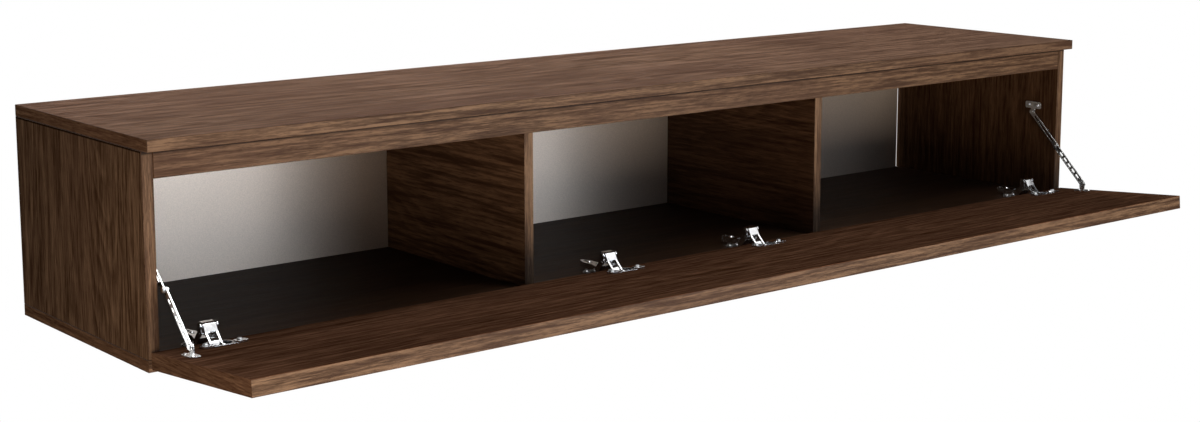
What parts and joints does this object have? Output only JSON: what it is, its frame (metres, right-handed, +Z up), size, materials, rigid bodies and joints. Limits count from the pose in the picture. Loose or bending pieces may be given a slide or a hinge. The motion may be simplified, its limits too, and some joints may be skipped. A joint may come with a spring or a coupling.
{
  "type": "floating media console",
  "caption": "Wall-hung media console in walnut veneer: open bays behind a full-width drop-down flap on cup hinges, with a folding stay at each end.",
  "frame": {"origin": "middle of the back panel's rear face, which is the plane of the wall", "axes": "+Z up, the open front faces -Y, +X to the right as seen from the front"},
  "size_m": [1.8, 0.6405, 0.297],
  "materials": {
    "walnut_veneer": "satin lacquered dark walnut veneer with thin edge bands",
    "back_board": "light grey faced hardboard",
    "nickel_plate": "bright nickel plate",
    "zinc_plate": "bright zinc plate"
  },
  "bodies": {
    "carcass": {"top_panel": "walnut_veneer", "bottom_panel": "walnut_veneer", "side_panel_left": "walnut_veneer", "side_panel_right": "walnut_veneer", "divider_left": "walnut_veneer", "divider_right": "walnut_veneer", "fascia_rail": "walnut_veneer", "back_panel": "back_board", "hanging_rail_left": "walnut_veneer", "hanging_rail_middle": "walnut_veneer", "hanging_rail_right": "walnut_veneer", "hinge_arm_1": "nickel_plate", "hinge_arm_2": "nickel_plate", "hinge_arm_3": "nickel_plate", "hinge_arm_4": "nickel_plate", "hinge_plate_1": "zinc_plate", "hinge_plate_2": "zinc_plate", "hinge_plate_3": "zinc_plate", "hinge_plate_4": "zinc_plate", "plate_screw_1_left": "zinc_plate", "plate_screw_1_right": "zinc_plate", "plate_screw_2_left": "zinc_plate", "plate_screw_2_right": "zinc_plate", "plate_screw_3_left": "zinc_plate", "plate_screw_3_right": "zinc_plate", "plate_screw_4_left": "zinc_plate", "plate_screw_4_right": "zinc_plate", "stay_side_bracket_left": "zinc_plate", "stay_side_bracket_right": "zinc_plate"},
    "outer_links": {"hinge_outer_link_1": "nickel_plate", "hinge_outer_link_2": "nickel_plate", "hinge_outer_link_3": "nickel_plate", "hinge_outer_link_4": "nickel_plate"},
    "inner_links": {"hinge_inner_link_1": "nickel_plate", "hinge_inner_link_2": "nickel_plate", "hinge_inner_link_3": "nickel_plate", "hinge_inner_link_4": "nickel_plate"},
    "flap": {"flap_panel": "walnut_veneer", "hinge_cup_1": "nickel_plate", "hinge_cup_2": "nickel_plate", "hinge_cup_3": "nickel_plate", "hinge_cup_4": "nickel_plate", "cup_screw_1_left": "zinc_plate", "cup_screw_1_right": "zinc_plate", "cup_screw_2_left": "zinc_plate", "cup_screw_2_right": "zinc_plate", "cup_screw_3_left": "zinc_plate", "cup_screw_3_right": "zinc_plate", "cup_screw_4_left": "zinc_plate", "cup_screw_4_right": "zinc_plate", "stay_foot_left": "nickel_plate", "stay_foot_right": "nickel_plate"},
    "stay_upper_arms": {"stay_upper_arm_left": "nickel_plate", "stay_upper_arm_right": "nickel_plate"},
    "stay_lower_arms": {"stay_lower_arm_left": "nickel_plate", "stay_lower_arm_right": "nickel_plate"}
  },
  "joints": [
    {"name": "outer_link_turn", "type": "hinge", "parent": "carcass", "child": "outer_links", "pos_m": [0, -0.377, -0.1015], "axis": [1, 0, 0], "range_deg": [0, 28.77]},
    {"name": "flap_hinge", "type": "hinge", "parent": "outer_links", "child": "flap", "pos_m": [0, -0.40098, -0.12363], "axis": [-1, 0, 0], "range_deg": [0, 113.77]},
    {"name": "inner_link_turn", "type": "hinge", "parent": "carcass", "child": "inner_links", "pos_m": [0, -0.3762, -0.1116], "axis": [1, 0, 0], "range_deg": [0, 19.29]},
    {"name": "stay_upper_fold", "type": "hinge", "parent": "carcass", "child": "stay_upper_arms", "pos_m": [0, -0.331, 0.0135], "axis": [1, 0, 0], "range_deg": [0, 76.84]},
    {"name": "stay_lower_fold", "type": "hinge", "parent": "flap", "child": "stay_lower_arms", "pos_m": [0, -0.45088, -0.10383], "axis": [1, 0, 0], "range_deg": [0, 57.53]}
  ],
  "couplings": [
    {"joint": "outer_link_turn", "follows": "flap_hinge", "ratio": 0.25289},
    {"joint": "inner_link_turn", "follows": "flap_hinge", "ratio": 0.16954},
    {"joint": "stay_upper_fold", "follows": "flap_hinge", "ratio": 0.67543},
    {"joint": "stay_lower_fold", "follows": "flap_hinge", "ratio": 0.50565}
  ]
}
